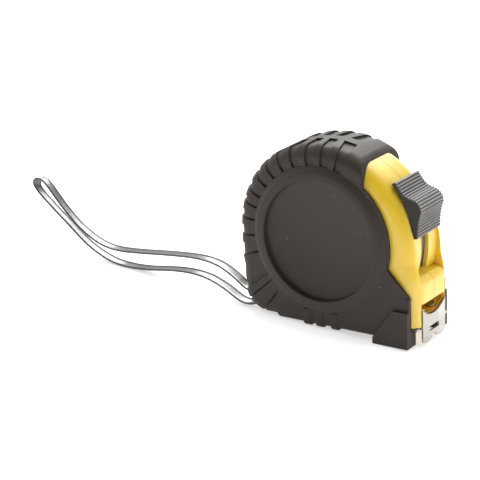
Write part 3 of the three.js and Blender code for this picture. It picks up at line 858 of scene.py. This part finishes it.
tooth = [
    (-0.62, -RIDGE_ROOT), (-0.5, 0.06), (-0.24, RIDGE_HEIGHT),
    (0.1, RIDGE_HEIGHT), (0.34, 0.06), (0.5, -RIDGE_ROOT),
]
ridge_rows = [[(x / 1000, y / 1000, z / 1000) for x, z in tooth] for y in (-RIDGE_HALF, RIDGE_HALF)]
one_ridge = loft(ridge_rows, "one_ridge", smooth_under=20)
# the ridges get a paler grey than the button's black, as painted highlight on the faces that catch the
# light
ridge_highlight_plastic = finish(
    "ridge_highlight_plastic", (0.20, 0.19, 0.18), 0.55, drift=0.12,
    grain_size=0.0003, grain_depth=0.00001, dust=0.4,
)
one_ridge.data.materials.append(ridge_highlight_plastic)
path_along = np.concatenate([[0], np.cumsum(np.linalg.norm(np.diff(sunk, axis=0), axis=1))])
ridge_spots, ridge_turns = [], []
for spot in np.arange(0.65, path_along[-1] - 0.3, RIDGE_PITCH):
    x, z = (float(np.interp(spot, path_along, sunk[:, k])) for k in (0, 1))
    dx, dz = (float(np.interp(spot, path_along, path_way[:, k])) for k in (0, 1))
    ridge_spots.append(case_place @ Vector((x, 0, z)))
    ridge_turns.append((0, -math.atan2(dz, dx) - lean, 0))
ridges = repeated("button_ridges", one_ridge, ridge_spots, ridge_turns)
mount(ridges, "lock", "black_plastic", ridge_highlight_plastic)
# the ridges' ends keep the button's own black, and only their other faces carry the painted highlight
ridges.data.materials.append(black_plastic)
for face in ridges.data.polygons:
    face.material_index = 1 if abs(face.normal.y) > 0.9 else 0


def rounded_copy(node, name, radius, body, slot, material, cuts=()):
    """A copy of a frame part, with more cut from it and its edges rounded, which stands for it."""
    mesh = frame["nodes"][node].data.copy()
    work = bmesh.new()
    work.from_mesh(mesh)
    bmesh.ops.remove_doubles(work, verts=work.verts, dist=0.000004)
    bmesh.ops.dissolve_limit(work, angle_limit=math.radians(1), verts=work.verts, edges=work.edges)
    work.to_mesh(mesh)
    work.free()
    piece = placed(name, mesh)
    if cuts:
        combine(piece, cuts, "DIFFERENCE")
    soften_edges(piece, radius)
    mount(piece, body, slot, material, node)


# the brake band's grey is paler than its own dark grey, as painted highlight for the side light it catches
# in the slot
grey_plastic = finish(
    "grey_plastic", (0.30, 0.29, 0.275), 0.32, drift=0.1, grain_size=0.0003, grain_depth=0.00001,
)
rounded_copy("lock_band", "brake_band", 0.00015, "lock", "grey_plastic", grey_plastic)


# ---------------------------------------------------------------- blade and its hook
# A cupped strip of spring steel, enamelled yellow and marked along both edges. Two rivets hold the
# bright end hook, with enough play for it to slide by its own thickness.
bright_steel = finish(
    "bright_steel", (0.37, 0.35, 0.325), 0.33, metallic=1.0, drift=0.06, roughness_drift=0.2,
    grain_size=0.0004, grain_depth=0.000004, edge_wear=0.3, wear_colour=(0.85, 0.83, 0.8, 1),
)
yellow_paint = finish(
    "yellow_paint", (0.74, 0.37, 0.012), 0.32, coat=0.3, drift=0.05, grain_depth=0.000004, dust=0.3,
)
# the nail slot and the scriber notch in the hook's lower edge
PAST_HOOK = (41, 44)
nail_slot = block("nail_slot", PAST_HOOK, (-3.8, 3.8), (-34.0, -32.0))
notch_outline = ((-3.6, -39), (-0.5, -35.9), (0.5, -35.9), (3.6, -39))
notch = body_of([[(x, y, z) for y, z in notch_outline] for x in PAST_HOOK], "notch")
rounded_copy("hook", "end_hook", 0.0001, "hook", "bright_steel", bright_steel, [nail_slot, notch])
rounded_copy("blade_rivet_1", "rivet_1", 0.00022, "blade", "bright_steel", bright_steel)
rounded_copy("blade_rivet_2", "rivet_2", 0.00022, "blade", "bright_steel", bright_steel)
rounded_copy("mouth_plate", "wear_plate", 0.00012, "case", "bright_steel", bright_steel)


def marked_blade():
    """The enamel with a short black line at each millimetre along both edges, and a long one at ten."""
    fine_pitch, fine_half, fine_from = 0.001, 0.0001, 0.0068
    long_pitch, long_half, long_from = 0.01, 0.00016, 0.0035
    material = yellow_paint.copy()
    material.name = "marked_blade"
    tree = material.node_tree
    place = tree.nodes.new("ShaderNodeTexCoord").outputs["Object"]
    along = fed(tree, "ShaderNodeVectorMath", {0: place, 1: tuple(mouth_way)}, operation="DOT_PRODUCT")
    from_middle = maths(tree, "ABSOLUTE", fed(tree, "ShaderNodeSeparateXYZ", {0: place}).outputs["Y"])

    def lines(pitch, half, outside):
        to_line = maths(tree, "PINGPONG", along.outputs["Value"], pitch / 2)
        on_line = maths(tree, "LESS_THAN", to_line, half)
        return maths(tree, "MULTIPLY", on_line, maths(tree, "GREATER_THAN", from_middle, outside))

    fine, long = lines(fine_pitch, fine_half, fine_from), lines(long_pitch, long_half, long_from)
    lay_over(material, maths(tree, "MAXIMUM", fine, long), (0.02, 0.02, 0.02, 1))
    return material


blade_finish = marked_blade()


def refinish(node, material):
    """Gives a frame part that is seen as it is a material of its own."""
    mesh = frame["nodes"][node].data
    mesh.materials.clear()
    mesh.materials.append(material)


refinish("blade", blade_finish)
refinish("blade_coil", yellow_paint)


# ---------------------------------------------------------------- spool, spring and spindle
# Hidden inside: the blade winds on a moulded drum round a steel spindle, and a flat spring
# shut in under a cover draws it back.
white_plastic = finish(
    "white_plastic", (0.70, 0.69, 0.64), 0.5, drift=0.04, grain_size=0.0005, grain_depth=0.00001,
)
spring_steel = finish(
    "spring_steel", (0.30, 0.32, 0.36), 0.35, metallic=1.0, drift=0.1,
    grain_size=0.0003, grain_depth=0.000004,
)
refinish("spool_drum", white_plastic)
refinish("spool_cover", white_plastic)
refinish("power_spring", spring_steel)
refinish("spindle", bright_steel)
refinish("strap_post", black_plastic)


# ---------------------------------------------------------------- case screws
# Three cross-head screws that go in from the left and draw the case halves together.
for count in (1, 2, 3):
    rounded_copy(
        f"case_screw_{count}", f"cross_screw_{count}", 0.00012, "case", "bright_steel", bright_steel,
    )
